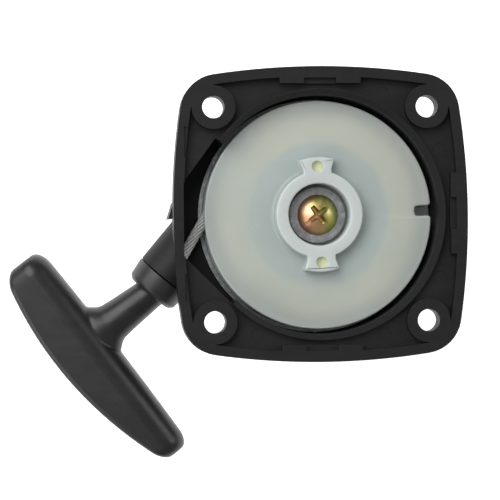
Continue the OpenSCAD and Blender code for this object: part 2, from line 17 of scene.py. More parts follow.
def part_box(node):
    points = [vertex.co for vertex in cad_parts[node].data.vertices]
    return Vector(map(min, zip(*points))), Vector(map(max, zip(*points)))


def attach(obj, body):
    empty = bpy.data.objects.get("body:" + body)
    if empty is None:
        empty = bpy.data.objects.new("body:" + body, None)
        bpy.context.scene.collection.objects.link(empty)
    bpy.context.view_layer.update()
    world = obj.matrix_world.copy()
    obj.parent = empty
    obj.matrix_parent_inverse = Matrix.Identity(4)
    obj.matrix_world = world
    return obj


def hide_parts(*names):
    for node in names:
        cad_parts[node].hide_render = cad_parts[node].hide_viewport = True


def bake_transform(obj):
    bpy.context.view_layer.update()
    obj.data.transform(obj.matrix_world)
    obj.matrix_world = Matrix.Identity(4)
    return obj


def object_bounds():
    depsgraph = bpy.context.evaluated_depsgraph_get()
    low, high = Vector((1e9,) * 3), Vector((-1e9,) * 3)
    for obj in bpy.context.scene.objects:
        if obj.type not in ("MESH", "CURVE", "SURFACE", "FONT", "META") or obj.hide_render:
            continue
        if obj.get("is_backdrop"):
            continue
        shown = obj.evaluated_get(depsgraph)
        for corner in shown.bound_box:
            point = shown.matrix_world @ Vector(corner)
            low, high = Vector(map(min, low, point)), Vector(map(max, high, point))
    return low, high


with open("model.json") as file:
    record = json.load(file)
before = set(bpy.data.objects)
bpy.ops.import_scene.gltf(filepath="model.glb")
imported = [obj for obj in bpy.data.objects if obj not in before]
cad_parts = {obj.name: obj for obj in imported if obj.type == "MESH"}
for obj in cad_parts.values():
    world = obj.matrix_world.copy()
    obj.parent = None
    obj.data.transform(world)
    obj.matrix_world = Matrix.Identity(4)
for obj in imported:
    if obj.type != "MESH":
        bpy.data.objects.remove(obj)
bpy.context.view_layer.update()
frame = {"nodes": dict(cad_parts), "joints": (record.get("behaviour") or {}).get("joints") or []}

bl_info = {
    "name": "Recoil Starter",
    "version": (1, 0, 0),
    "blender": (4, 5, 0),
    "location": "View3D > Sidebar > Starter",
    "description": "Builds the finished pieces and materials of a recoil starter",
    "category": "Object",
}

MM = 0.001
# Shine of filled black plastic as moulded, and of the smoother pieces that hands touch
MATT_SHINE = 0.25
GLOSS_SHINE = 0.5
# Diameter of the round that an ear keeps about its hole
EAR_ROUND = 4.5 * MM

REEL_LOW, REEL_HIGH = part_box("rope_reel")
TURNS_LOW, TURNS_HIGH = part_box("rope_turns")
HOUSING_LOW, HOUSING_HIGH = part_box("housing")
WASHER_LOW, WASHER_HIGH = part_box("centre_washer")
SCREW_LOW, SCREW_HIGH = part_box("centre_screw")
SLEEVE_LOW, SLEEVE_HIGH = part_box("axle_sleeve")
CAP_LOW, CAP_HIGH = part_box("handle_cap")
HANDLE_JOINT = next(j for j in frame["joints"] if j["name"] == "handle_pull")

REEL_RADIUS = (REEL_HIGH.y - REEL_LOW.y) / 2
PULL = Vector(HANDLE_JOINT["axis"]).normalized()
PULL_TRAVEL = HANDLE_JOINT["range_m"][1]
PULL_LEAN = math.asin(-PULL.z)
# The handle's cap is centred on the stem's axis, this far out from the collar's mouth.
CAP_REACH = 26.05 * MM
MOUTH = (CAP_LOW + CAP_HIGH) / 2 - CAP_REACH * PULL


def length(name, text, default, low=0.0, high=1.0):
    """A size in metres."""
    return FloatProperty(
        name=name, description=text, default=default, min=low, max=high, unit="LENGTH", precision=5
    )


def angle(name, text, degrees):
    """An angle, given in degrees and kept in radians."""
    return FloatProperty(name=name, description=text, default=math.radians(degrees), unit="ROTATION")


def colour(name, text, rgb):
    """A linear colour."""
    return FloatVectorProperty(
        name=name, description=text, default=rgb, size=3, min=0.0, max=1.0, subtype="COLOR"
    )


class StarterView(PropertyGroup):
    """Camera, floor and lights."""

    distance: length("Distance", "Camera to the point it looks at", 0.6, 0.1, 5.0)
    width: length("Width seen", "Width of the field at that point", 0.11611, 0.01, 1.0)
    lean: angle("Lean", "How far the camera stands to the left of the reel's axis", 5.06)
    dip: angle("Dip", "How far the camera stands below the reel's axis", 0.75)
    roll: angle("Roll", "How far the camera is turned about its own axis", -0.55)
    aim_x: length("Aim X", "Where the camera looks on the mounting face, along X", -0.0168, -1.0)
    aim_y: length("Aim Y", "Where the camera looks on the mounting face, along Y", -0.00827, -1.0)
    floor_grey: FloatProperty(name="Floor", description="Grey of the floor", default=0.93, min=0.0, max=1.0)
    floor_glow: FloatProperty(
        name="Glow", description="Light that the paper gives itself", default=0.6, min=0.0
    )
    sky: FloatProperty(name="Sky", description="Strength of the even light", default=0.3, min=0.0)


class StarterSizes(PropertyGroup):
    """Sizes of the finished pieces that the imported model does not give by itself."""

    edge: length("Edge", "Rounding of the housing's moulded edges", 0.00028, 0.0, 0.001)
    outlet_angle: angle("Outlet angle", "Outlet boss, down from -X", 50.0)
    collar: length("Collar", "Largest diameter of the guide collar", 0.0138, 0.01, 0.02)
    collar_length: length("Collar length", "Length of the collar that shows", 0.0054, 0.003, 0.01)
    collar_hole: length("Collar hole", "Diameter of the rope hole in the collar", 0.0058, 0.003, 0.008)
    collar_mouth: length("Collar mouth", "Diameter of the seat for the handle's stem", 0.0092, 0.005, 0.012)
    screw_slot: angle("Screw slot", "Turn of the slot from X", 37.0)


class StarterReel(PropertyGroup):
    """Sizes of the reel."""

    hub_height: length("Hub height", "Hub above the reel's upper face", 0.0035, 0.001, 0.006)
    flange: length("Flange", "Thickness of a flange", 0.0015, 0.001, 0.003)
    groove: length("Groove", "Width of the groove for the rope", 0.0056, 0.003, 0.01)
    hub: length("Hub", "Outer diameter of the hub ring", 0.0204, 0.015, 0.025)
    recess: length("Recess", "Diameter of the recess in the hub", 0.0146, 0.01, 0.02)
    ears: length("Ears", "Size over the two drive ears", 0.027, 0.02, 0.035)
    ear_end: length("Ear end", "Width of an ear at its outer end", 0.0082, 0.005, 0.012)
    ear_neck: length("Ear neck", "Width of an ear where it leaves the hub", 0.0067, 0.004, 0.01)
    ear_hole: length("Ear hole", "Diameter of the blind hole in an ear", 0.0026, 0.001, 0.004)
    ear_hole_depth: length("Ear hole depth", "Depth of the blind hole in an ear", 0.0014, 0.001, 0.003)
    ears_turn: angle("Ears turn", "Turn of the ears from the Y axis", 2.2)
    notch: length("Notch", "Width of the notch in the rim", 0.0024, 0.001, 0.004)
    notch_depth: length("Notch depth", "Depth of the notch in the rim", 0.0039, 0.001, 0.006)
    notch_turn: angle("Notch turn", "Turn of the notch from X", 1.9)


class StarterRope(PropertyGroup):
    """Sizes of the rope and how it is wound."""

    thick: length("Thickness", "Diameter of the rope", 0.0025, 0.001, 0.005)
    lay: length("Lay", "Length of one twist of the rope", 0.0165, 0.005, 0.05)
    strands: IntProperty(name="Strands", description="Ridges round the rope", default=9, min=3, max=16)
    layers: IntProperty(name="Layers", description="Layers on the reel", default=3, min=1, max=5)
    columns: IntProperty(name="Columns", description="Turns side by side", default=2, min=1, max=4)
    slope: angle("Slope", "Rope between reel and guide, down from -X", 59.0)
    reach: length("Reach", "From the bend in the guide to the collar's mouth", 0.0062, 0.002, 0.02)
    tail: length("Tail", "Straight rope that turns with the reel", 0.0108, 0.0, 0.02)


class StarterHandle(PropertyGroup):
    """Sizes of the handle, measured along the pull from the collar's mouth."""

    stem: length("Stem", "Diameter of the stem at the collar", 0.0076, 0.004, 0.012)
    stem_root: length("Stem root", "Diameter of the stem at its root", 0.0089, 0.004, 0.014)
    stem_length: length("Stem length", "Stem between collar and grip", 0.0138, 0.008, 0.03)
    stem_in: length("Stem in", "How far the stem stands in the collar", 0.0016, 0.0, 0.004)
    short: length("Short side", "Grip from the stem's axis to its near end", 0.0242, 0.01, 0.05)
    long: length("Long side", "Grip from the stem's axis to its far end", 0.0335, 0.01, 0.06)
    thick: length("Thickness", "Grip along the stem, at its thickest", 0.0138, 0.008, 0.03)
    depth: length("Depth", "Grip from face to face", 0.013, 0.008, 0.03)
    crease: length("Crease", "From the finger side to the crease", 0.0055, 0.002, 0.012)
    bow: FloatProperty(name="Bow", description="Bow of the outer side, per metre", default=5.7, min=0.0)
    pocket: length("Pocket", "Diameter of the pocket for the knot", 0.0084, 0.004, 0.012)
    bore: length("Bore", "Diameter of the hole for the rope", 0.0032, 0.002, 0.006)


class StarterColours(PropertyGroup):
    """Main colours."""

    housing: colour("Housing", "Moulded black of the housing", (0.009, 0.009, 0.0095))
    collar: colour("Collar", "Black of the guide collar", (0.016, 0.016, 0.0165))
    grip: colour("Grip", "Black of the handle", (0.009, 0.009, 0.0095))
    reel: colour("Reel", "Milky nylon of the reel", (0.42, 0.45, 0.415))
    hub: colour("Hub", "Thicker, whiter nylon of the hub", (0.50, 0.54, 0.53))
    # Painted light and shade: the foot of each blind hole gets this yellow-green colour, standing in for the
    # shade in the hole and the light through its thin nylon floor
    core: colour("Cores", "Nylon at the foot of the blind holes", (0.72, 0.75, 0.52))
    rope: colour("Rope", "Twisted rope", (0.88, 0.88, 0.86))
    washer: colour("Washer", "Dull zinc of the washer", (0.32, 0.32, 0.328))


# ---- mesh helpers ----


def add_object(name, mesh):
    obj = bpy.data.objects.new(name, mesh)
    bpy.context.scene.collection.objects.link(obj)
    return obj


def mesh_from(name, points, faces, smooth=40.0):
    """A mesh object with outward faces, smooth except at edges sharper than the angle given."""
    mesh = bpy.data.meshes.new(name)
    mesh.from_pydata([tuple(p) for p in points], [], faces)
    build = bmesh.new()
    build.from_mesh(mesh)
    bmesh.ops.remove_doubles(build, verts=build.verts, dist=1e-7)
    bmesh.ops.recalc_face_normals(build, faces=build.faces)
    build.to_mesh(mesh)
    build.free()
    smooth_by_angle(mesh, smooth)
    return add_object(name, mesh)


def smooth_by_angle(mesh, degrees):
    limit = math.radians(degrees)
    build = bmesh.new()
    build.from_mesh(mesh)
    for face in build.faces:
        face.smooth = True
    for edge in build.edges:
        edge.smooth = len(edge.link_faces) == 2 and edge.calc_face_angle(0.0) < limit
    build.to_mesh(mesh)
    build.free()


def lathe(name, profile, steps=128, smooth=40.0):
    """Turns a closed profile of (radius, height) about the local Z axis."""
    points, faces = [], []
    count = len(profile)
    for i in range(steps):
        turn = 2 * math.pi * i / steps
        for radius, height in profile:
            points.append((radius * math.cos(turn), radius * math.sin(turn), height))
    for i in range(steps):
        here, after = i * count, (i + 1) % steps * count
        for j in range(count):
            k = (j + 1) % count
            if profile[j][0] > 0 or profile[k][0] > 0:
                faces.append((here + j, after + j, after + k, here + k))
    return mesh_from(name, points, faces, smooth)


def rounded(profile, radius, steps=4):
    """The closed profile with each corner turned into an arc, as far as its neighbours leave room.

    A corner is (x, y), or (x, y, its own radius).
    """
    out = []
    count = len(profile)
    for i, corner in enumerate(profile):
        here = Vector(corner[:2])
        before = Vector(profile[i - 1][:2])
        after = Vector(profile[(i + 1) % count][:2])
        size = corner[2] if len(corner) > 2 else radius
        back, ahead = before - here, after - here
        if size <= 0 or back.length < 1e-9 or ahead.length < 1e-9:
            out.append(tuple(here))
            continue
        opening = back.angle(ahead)
        if opening > math.radians(172):
            out.append(tuple(here))
            continue
        reach = min(size / math.tan(opening / 2), 0.46 * back.length, 0.46 * ahead.length)
        start, end = here + back.normalized() * reach, here + ahead.normalized() * reach
        for k in range(steps + 1):
            t = k / steps
            out.append(tuple(start.lerp(here, t).lerp(here.lerp(end, t), t)))
    return out


def stack(name, outline, levels, smooth=35.0):
    """Copies of a closed outline, counter-clockwise, one above the other. Levels are (height, grow)."""
    count = len(outline)
    outward = []
    for i in range(count):
        along_edge = Vector(outline[(i + 1) % count]) - Vector(outline[i - 1])
        outward.append(Vector((along_edge.y, -along_edge.x)).normalized())
    points, faces = [], [tuple(range(count))]
    for height, grow in levels:
        for (x, y), out in zip(outline, outward):
            points.append((x + out.x * grow, y + out.y * grow, height))
    for level in range(len(levels) - 1):
        here, above = level * count, (level + 1) * count
        for i in range(count):
            k = (i + 1) % count
            faces.append((here + i, here + k, above + k, above + i))
    faces.append(tuple(range((len(levels) - 1) * count, len(levels) * count)))
    return mesh_from(name, points, faces, smooth)


def round_levels(low, high, low_radius, high_radius, steps=4):
    """Levels for stack() with a rounded edge at the foot and at the top."""
    levels = []
    for i in range(steps + 1):
        turn = math.pi / 2 * i / steps
        levels.append((low + low_radius * (1 - math.cos(turn)), -low_radius * (1 - math.sin(turn))))
    for i in range(steps + 1):
        turn = math.pi / 2 * i / steps
        levels.append((high - high_radius * (1 - math.sin(turn)), -high_radius * (1 - math.cos(turn))))
    return levels


def smooth_step(t):
    t = min(1.0, max(0.0, t))
    return t * t * (3 - 2 * t)


def flared(high, depth, flare, draft=0.0):
    """Levels for stack() that cut a recess of that depth, with a round mouth and sloping walls."""
    levels = [(high - depth, -draft), (high - depth * 0.45, -0.4 * draft), (high - 0.3 * MM, 0.0)]
    levels += [(high - 0.12 * MM, 0.3 * flare), (high, flare), (high + 0.4 * MM, 3.2 * flare)]
    return levels


def mouth_profile(radius, floor, top, lip, bore=0.0, bore_low=0.0):
    """Closed profile of a cutter for a hole with a round mouth, and a bore below it if one is given."""
    above = 1 * MM
    profile = [(bore, bore_low), (bore, floor)] if bore else [(0.0, floor)]
    profile = [(0.0, bore_low)] + profile if bore else profile
    profile.append((radius, floor))
    for i in range(6):
        turn = math.pi / 2 * i / 5
        profile.append((radius + lip * (1 - math.cos(turn)), top - lip + lip * math.sin(turn)))
    profile += [(radius + lip, top + above), (0.0, top + above)]
    return profile


def bar(length_x, width_y, corner):
    """Outline of a bar about the origin, with round corners."""
    x, y = length_x / 2, width_y / 2
    return rounded([(-x, -y), (x, -y), (x, y), (-x, y)], corner)


def join(name, *objects):
    """One object of several meshes that do not touch."""
    build = bmesh.new()
    for obj in objects:
        build.from_mesh(obj.data)
    mesh = bpy.data.meshes.new(name)
    build.to_mesh(mesh)
    build.free()
    for obj in objects:
        bpy.data.objects.remove(obj)
    return add_object(name, mesh)


def modify(obj, kind, **settings):
    """Runs one modifier on the object's mesh."""
    step = obj.modifiers.new(kind.lower(), kind)
    for key, value in settings.items():
        setattr(step, key, value)
    settle(obj)


def combine(obj, other, operation, smooth=40.0):
    """Adds or cuts another object, which is used up."""
    modify(obj, "BOOLEAN", object=other, operation=operation, solver="MANIFOLD")
    bpy.data.objects.remove(other)
    smooth_by_angle(obj.data, smooth)


def settle(obj):
    """Applies the object's modifiers to its mesh."""
    graph = bpy.context.evaluated_depsgraph_get()
    mesh = bpy.data.meshes.new_from_object(obj.evaluated_get(graph))
    obj.modifiers.clear()
    obj.data = mesh


def place(obj, matrix):
    obj.data.transform(matrix)


def direction(down_from_left, lean):
    """Unit vector that points to -X, turned down towards -Y, leaning away from the engine."""
    return Vector(
        (
            -math.cos(down_from_left) * math.cos(lean),
            -math.sin(down_from_left) * math.cos(lean),
            -math.sin(lean),
        )
    )


def turned(obj, degrees_as_radians):
    """Turns the object's mesh about Z."""
    obj.data.transform(Matrix.Rotation(degrees_as_radians, 4, "Z"))
    return obj


def along(origin, axis):
    """Matrix whose local Z is the axis, and whose local Y lies in the plane of the mounting face."""
    z = axis.normalized()
    y = Vector((0, 0, 1)).cross(z).normalized()
    x = y.cross(z)
    matrix = Matrix((x, y, z)).transposed().to_4x4()
    matrix.translation = origin
    return matrix


def strand_ring(thick, strands, per_strand=4, depth=0.2):
    """Points round a rope as (radius, turn, groove), with a groove between the strands."""
    ring = []
    count = strands * per_strand
    for i in range(count):
        ridge = abs(math.sin(math.pi * i / per_strand))
        ring.append((thick / 2 * (1 - depth * (1 - ridge)), 2 * math.pi * i / count, 1 - ridge))
    return ring


def twisted_tube(name, path, ring, phase, up):
    """Sweeps the ring along the path; its columns follow the strands, so the ridges stay true.

    phase gives the twist at each point of the path, and up is never in line with it.
    """
    count = len(ring)
    points, faces, grooves = [], [], []
    for i, here in enumerate(path):
        ahead = path[min(i + 1, len(path) - 1)] - path[max(i - 1, 0)]
        side = up.cross(ahead).normalized()
        over = ahead.cross(side).normalized()
        for radius, turn, groove in ring:
            spin = turn + phase[i]
            points.append(here + radius * (math.cos(spin) * side + math.sin(spin) * over))
            grooves.append(groove)
    for i in range(len(path) - 1):
        for j in range(count):
            k = (j + 1) % count
            faces.append((i * count + j, i * count + k, (i + 1) * count + k, (i + 1) * count + j))
    faces.append(tuple(range(count)))
    faces.append(tuple(range((len(path) - 1) * count, len(path) * count)))
    mesh = bpy.data.meshes.new(name)
    mesh.from_pydata([tuple(p) for p in points], [], faces)
    build = bmesh.new()
    build.from_mesh(mesh)
    bmesh.ops.recalc_face_normals(build, faces=build.faces)
    build.to_mesh(mesh)
    build.free()
    smooth_by_angle(mesh, 75.0)
    # The groove share at each point drives the painted shade in the rope's material
    layer = mesh.attributes.new("groove", "FLOAT", "POINT")
    layer.data.foreach_set("value", grooves)
    return add_object(name, mesh)


def run_length(path):
    """Distance along the path at each of its points."""
    total, out = 0.0, [0.0]
    for before, here in zip(path, path[1:]):
        total += (here - before).length
        out.append(total)
    return out


# ---- materials ----


class Finish:
    """A material with its shader, and short ways to feed it."""

    def __init__(self, name, base, roughness=0.5, metallic=0.0):
        self.material = bpy.data.materials.new(name)
        self.material.use_nodes = True
        self.tree = self.material.node_tree
        self.shader = self.tree.nodes["Principled BSDF"]
        self.shader.inputs["Base Color"].default_value = (*base, 1.0)
        self.shader.inputs["Roughness"].default_value = roughness
        self.shader.inputs["Metallic"].default_value = metallic
        self.place = self.add("ShaderNodeTexCoord").outputs["Object"]
        self.height = None

    def add(self, kind, **settings):
        node = self.tree.nodes.new(kind)
        for key, value in settings.items():
            setattr(node, key, value)
        return node

    def link(self, source, target):
        self.tree.links.new(source, target)

    def noise(self, scale, detail=4.0, rough=0.5, stretch=None):
        """Even noise; scale is in features per metre."""
        node = self.add("ShaderNodeTexNoise")
        node.inputs["Scale"].default_value = scale
        node.inputs["Detail"].default_value = detail
        node.inputs["Roughness"].default_value = rough
        place = self.place
        if stretch:
            mapping = self.add("ShaderNodeMapping")
            mapping.inputs["Scale"].default_value = stretch
            self.link(place, mapping.inputs["Vector"])
            place = mapping.outputs["Vector"]
        self.link(place, node.inputs["Vector"])
        return node.outputs["Fac"]

    def math(self, operation, first, second=0.0, third=0.0):
        node = self.add("ShaderNodeMath", operation=operation)
        for socket, value in zip(node.inputs, (first, second, third)):
            if isinstance(value, (int, float)):
                socket.default_value = value
            else:
                self.link(value, socket)
        return node.outputs[0]

    def ramp(self, source, stops, interpolation="EASE"):
        """Stops are (place, colour)."""
        node = self.add("ShaderNodeValToRGB")
        node.color_ramp.interpolation = interpolation
        points = node.color_ramp.elements
        while len(points) < len(stops):
            points.new(0.5)
        for point, (at, rgb) in zip(points, stops):
            point.position = at
            point.color = (*rgb, 1.0)
        self.link(source, node.inputs["Fac"])
        return node.outputs["Color"]

    def mix(self, share, first, second, blend="MIX"):
        node = self.add("ShaderNodeMix", data_type="RGBA", blend_type=blend)
        pairs = ((node.inputs["Factor"], share), (node.inputs[6], first), (node.inputs[7], second))
        for socket, value in pairs:
            if isinstance(value, (int, float)):
                socket.default_value = value
            elif isinstance(value, tuple):
                socket.default_value = (*value, 1.0)
            else:
                self.link(value, socket)
        return node.outputs[2]

    def span(self, source, low, high, to_low=0.0, to_high=1.0):
        node = self.add("ShaderNodeMapRange")
        self.link(source, node.inputs["Value"])
        for key, value in zip(("From Min", "From Max", "To Min", "To Max"), (low, high, to_low, to_high)):
            node.inputs[key].default_value = value
        return node.outputs["Result"]

    def axis(self, name):
        node = self.add("ShaderNodeSeparateXYZ")
        self.link(self.place, node.inputs[0])
        return node.outputs[name]

    def radius(self):
        """Distance from the reel's axis, in metres."""
        x, y = self.axis("X"), self.axis("Y")
        return self.math("SQRT", self.math("ADD", self.math("MULTIPLY", x, x), self.math("MULTIPLY", y, y)))

    def stored(self, name):
        node = self.add("ShaderNodeAttribute", attribute_name=name)
        return node.outputs["Fac"]

    def bump(self, height, distance, strength=1.0):
        node = self.add("ShaderNodeBump")
        node.inputs["Strength"].default_value = strength
        node.inputs["Distance"].default_value = distance
        self.link(height, node.inputs["Height"])
        if self.height is not None:
            self.link(self.height, node.inputs["Normal"])
        self.height = node.outputs["Normal"]
        self.link(self.height, self.shader.inputs["Normal"])

    def colour(self, source):
        self.link(source, self.shader.inputs["Base Color"])

    def rough(self, source):
        self.link(source, self.shader.inputs["Roughness"])

    def set(self, **values):
        for key, value in values.items():
            self.shader.inputs[key.replace("_", " ")].default_value = value
        return self


def times(rgb, factor):
    return tuple(min(1.0, part * factor) for part in rgb)


def moulded_black(name, base, roughness, grain=0.00003, shine=MATT_SHINE):
    """Filled black nylon: fine grain, faint cloudiness and flow streaks."""
    finish = Finish(name, base, roughness)
    cloud = finish.noise(60, 3.0)
    fine = finish.noise(2600, 2.0, 0.6)
    streak = finish.noise(140, 5.0, 0.6, (1.0, 3.5, 1.0))
    shade = finish.ramp(cloud, [(0.3, times(base, 0.82)), (0.55, base), (0.75, times(base, 1.35))])
    finish.colour(finish.mix(finish.span(streak, 0.45, 0.8, 0.0, 0.5), shade, times(base, 1.6)))
    finish.rough(finish.span(finish.math("ADD", fine, streak), 0.6, 1.4, roughness - 0.07, roughness + 0.09))
    finish.bump(fine, grain)
    finish.bump(cloud, 0.0002, 0.4)
    finish.set(Specular_IOR_Level=shine)
    return finish


def milky_nylon(base, hub, core, hub_low):
    """Natural nylon: cooler over the core, warmer over the groove, whiter in the hub. A painted highlight
    whitens the rim, a faint painted shade rings the hub's foot, and painted light and shade colour the foot
    of each blind hole.
    """
    finish = Finish("milky_nylon", base, 0.42)
    cloud = finish.noise(75, 3.0)
    broad = finish.noise(34, 2.0)
    fine = finish.noise(1500, 3.0, 0.6)
    speck = finish.noise(520, 2.0, 0.7)
    wander = finish.span(cloud, 0.3, 0.7, -0.02, 0.02)
    cool = (base[0] * 0.90, base[1] * 0.965, base[2] * 1.0)
    warm = (base[0] * 1.09, base[1] * 1.06, base[2] * 0.99)
    tone = finish.ramp(
        finish.math("ADD", finish.math("DIVIDE", finish.radius(), REEL_RADIUS), wander),
        [
            (0.0, cool),
            # Painted shade: the slight dip at the hub's foot is the hub's shadow on the face
            (0.38, times(cool, 0.98)),
            (0.50, cool),
            (0.58, times(cool, 0.99)),
            (0.66, times(warm, 0.98)),
            (0.80, warm),
            (0.93, times(base, 0.97)),
            # Painted highlight: from here the ramp lightens towards the edge
            (0.97, times(base, 1.02)),
        ],
    )
    mottled = finish.mix(finish.span(broad, 0.42, 0.72, 0.0, 0.55), tone, times(cool, 1.01))
    marked = finish.mix(finish.span(speck, 0.68, 0.8, 0.0, 0.35), mottled, times(hub, 1.0))
    # Painted highlight: the rim's round edge is whitened where it catches the light
    rim = finish.span(finish.radius(), 0.978 * REEL_RADIUS, 0.994 * REEL_RADIUS, 0.0, 0.8)
    rim_highlighted = finish.mix(rim, marked, times(hub, 1.12))
    whiter = finish.span(finish.axis("Z"), hub_low, hub_low + 1.1 * MM)
    body = finish.mix(whiter, rim_highlighted, hub)
    # Painted light and shade at the foot of each blind hole, marked in the core layer
    finish.colour(finish.mix(finish.stored("core"), body, core))
    finish.rough(finish.span(fine, 0.3, 0.7, 0.34, 0.5))
    finish.bump(fine, 0.00003, 0.6)
    finish.bump(cloud, 0.0003, 0.3)
    finish.set(Subsurface_Weight=0.5, Subsurface_Scale=0.003, IOR=1.5)
    finish.shader.inputs["Subsurface Radius"].default_value = (1.0, 1.0, 0.9)
    return finish


def twisted_rope(base):
    """Rope fibre: painted shade darkens the grooves between the strands, a painted highlight lightens their
    crests, and fine fibres run along them.
    """
    finish = Finish("twisted_rope", base, 0.62)
    groove = finish.stored("groove")
    fibre = finish.noise(2200, 3.0, 0.6)
    # Painted light and shade: crests lighter, grooves down to 0.16 of the base colour
    shade = finish.ramp(groove, [(0.0, times(base, 1.12)), (0.5, base), (1.0, times(base, 0.16))])
    finish.colour(finish.mix(finish.span(fibre, 0.4, 0.8, 0.0, 0.45), shade, times(base, 0.6)))
    finish.bump(fibre, 0.00006)
    finish.set(Sheen_Weight=0.25)
    return finish


def plated(name, base, roughness, wear=1.5):
    """Zinc plating: crystalline mottling, faint turning marks and brighter worn spots."""
    finish = Finish(name, base, roughness, 1.0)
    mottle = finish.noise(900, 5.0, 0.65)
    marks = finish.math("SINE", finish.math("MULTIPLY", finish.radius(), 32000.0))
    shade = finish.ramp(mottle, [(0.3, times(base, 0.75)), (0.5, base), (0.72, times(base, wear))])
    finish.colour(shade)
    finish.rough(finish.span(mottle, 0.3, 0.7, roughness - 0.08, roughness + 0.1))
    finish.bump(marks, 0.000006, 0.5)
    finish.bump(mottle, 0.00003, 0.5)
    return finish


def iridescent_zinc():
    """Yellow chromate: copper to olive across the head, with pink and green stains."""
    finish = Finish("yellow_zinc", (0.5, 0.33, 0.15), 0.34, 1.0)
    across = finish.math("ADD", finish.axis("X"), finish.math("MULTIPLY", finish.axis("Y"), 0.35))
    stain = finish.noise(420, 4.0, 0.6)
    swirl = finish.noise(900, 3.0, 0.6)
    shifted = finish.math("ADD", across, finish.span(stain, 0.2, 0.8, -0.0022, 0.0022))
    base = finish.ramp(
        finish.span(shifted, -0.0045, 0.0045),
        [
            (0.0, (0.62, 0.30, 0.12)),
            (0.25, (0.70, 0.42, 0.24)),
            (0.45, (0.62, 0.42, 0.16)),
            (0.65, (0.40, 0.38, 0.10)),
            (0.85, (0.50, 0.46, 0.14)),
            (1.0, (0.34, 0.40, 0.16)),
        ],
    )
    pink = finish.ramp(swirl, [(0.52, (0, 0, 0)), (0.66, (1, 1, 1))])
    finish.colour(finish.mix(finish.math("MULTIPLY", pink, 0.45), base, (0.78, 0.48, 0.52)))
    finish.rough(finish.span(stain, 0.3, 0.7, 0.28, 0.44))
    finish.bump(stain, 0.00004, 0.6)
    return finish


def wear_finish(obj, finish):
    obj.data.materials.clear()
    obj.data.materials.append(finish.material)


# ---- operators ----


class STARTER_OT_stage(Operator):
    """Camera, floor and soft lights"""

    bl_idname = "starter.stage"
    bl_label = "Stage"

    def execute(self, context):
        view = context.scene.starter_view
        self.camera(context, view)
        self.floor(view)
        self.lights(context, view)
        return {"FINISHED"}

    def camera(self, context, view):
        data = bpy.data.cameras.new("camera")
        data.sensor_width = 36.0
        data.lens = data.sensor_width * view.distance / view.width
        camera = add_object("camera", data)
        aim = Vector((view.aim_x, view.aim_y, HOUSING_HIGH.z))
        back = Vector((-math.tan(view.lean), -math.tan(view.dip), 1.0)).normalized()
        camera.location = aim + back * view.distance
        level = Vector((0, 1, 0)).cross(back).normalized()
        right = Matrix.Rotation(view.roll, 3, back) @ level
        up = back.cross(right)
        camera.rotation_euler = Matrix((right, up, back)).transposed().to_euler()
        context.scene.camera = camera

    def floor(self, view):
        half = 3.0
        # Below the handle's whole travel, since the pull leans down from the mounting face
        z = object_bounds()[0].z + PULL.z * PULL_TRAVEL
        floor = mesh_from(
            "floor", [(-half, -half, z), (half, -half, z), (half, half, z), (-half, half, z)], [(0, 1, 2, 3)]
        )
        grey = view.floor_grey
        paper = Finish("floor_paper", (grey, grey, grey), 0.9)
        paper.set(Emission_Color=(1, 1, 1, 1), Emission_Strength=view.floor_glow)
        floor.data.materials.append(paper.material)
        floor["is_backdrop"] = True

    def lights(self, context, view):
        world = bpy.data.worlds.new("even_light")
        context.scene.world = world
        world.use_nodes = True
        world.node_tree.nodes["Background"].inputs["Color"].default_value = (1, 1, 1, 1)
        world.node_tree.nodes["Background"].inputs["Strength"].default_value = view.sky
        context.scene.view_settings.view_transform = "Standard"
        for name, spot, size, power in (
            ("key_light", (-0.5, 0.42, 0.8), 0.9, 10.0),
            ("side_light", (0.8, 0.2, 0.6), 0.5, 2.0),
            ("low_light", (-0.75, -0.45, 0.5), 0.5, 2.6),
        ):
            data = bpy.data.lights.new(name, "AREA")
            data.size = size
            data.energy = power
            light = add_object(name, data)
            light.location = spot
            light.rotation_euler = (Vector((0, 0, 0)) - light.location).to_track_quat("-Z", "Y").to_euler()


class STARTER_OT_housing(Operator):
    """Housing finish with rounded moulded edges"""

    bl_idname = "starter.housing"
    bl_label = "Housing"

    def execute(self, context):
        scene = context.scene
        housing = frame["nodes"]["housing"]
        step = housing.modifiers.new("moulded edges", "BEVEL")
        step.width = scene.starter_sizes.edge
        step.segments = 2
        step.limit_method = "ANGLE"
        step.angle_limit = math.radians(40)
        finish = moulded_black("housing_black", tuple(scene.starter_colours.housing), 0.5)
        housing.data.materials.clear()
        housing.data.materials.append(finish.material)
        return {"FINISHED"}


